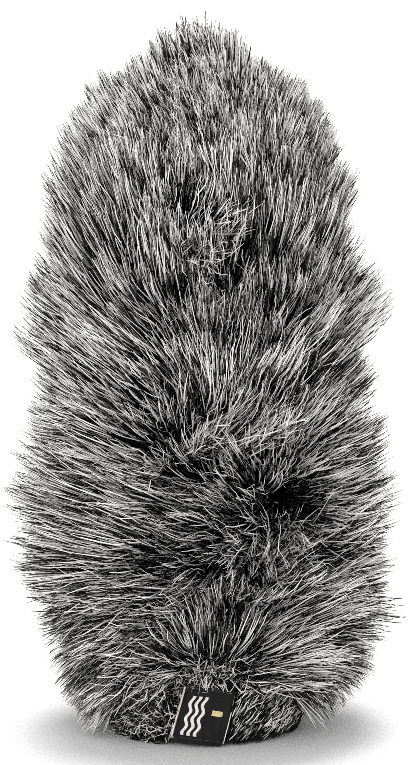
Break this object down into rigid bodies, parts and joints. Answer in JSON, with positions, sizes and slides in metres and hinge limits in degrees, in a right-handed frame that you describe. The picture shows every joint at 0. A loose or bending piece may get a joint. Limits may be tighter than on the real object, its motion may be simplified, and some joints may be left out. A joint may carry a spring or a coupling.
{
  "type": "furry microphone windscreen",
  "caption": "Upright slip-on microphone windscreen: bored foam core in a base ring and rubber collar, under a long-pile fur cover with an elastic hem and a label.",
  "frame": {"origin": "centre of the base ring's underside, on the surface that the windscreen stands on", "axes": "+Z along the microphone from the mouth to the nose, -Y towards the label at the front, +X to the right of the label"},
  "size_m": [0.111, 0.111, 0.2208],
  "materials": {
    "ring": "moulded, fine matt grain",
    "collar": "soft satin rubber",
    "foam": "open-cell foam, dark grey",
    "fur": "long grey and black pile with silver tips",
    "thread": "sewing thread, black",
    "elastic": "flat braided elastic, black",
    "label": "woven tape, black",
    "label_thread": "sewing thread, off-white",
    "bar_tack": "embroidery thread, pale yellow"
  },
  "bodies": {
    "core": {"base_ring": "ring", "rubber_collar": "collar", "foam_sleeve": "foam", "foam_nose": "foam"},
    "cover": {"fur_panel_left": "fur", "fur_panel_right": "fur", "seam_thread": "thread", "hem_cuff": "fur", "hem_elastic": "elastic", "hem_thread": "thread", "label_tab": "label", "label_thread_lower": "label_thread", "label_thread_upper": "label_thread", "label_bar_tack": "bar_tack"}
  },
  "joints": [
    {"name": "cover_slide", "type": "slide", "parent": "core", "child": "cover", "axis": [0, 0, 1], "range_m": [0, 0.2]}
  ]
}
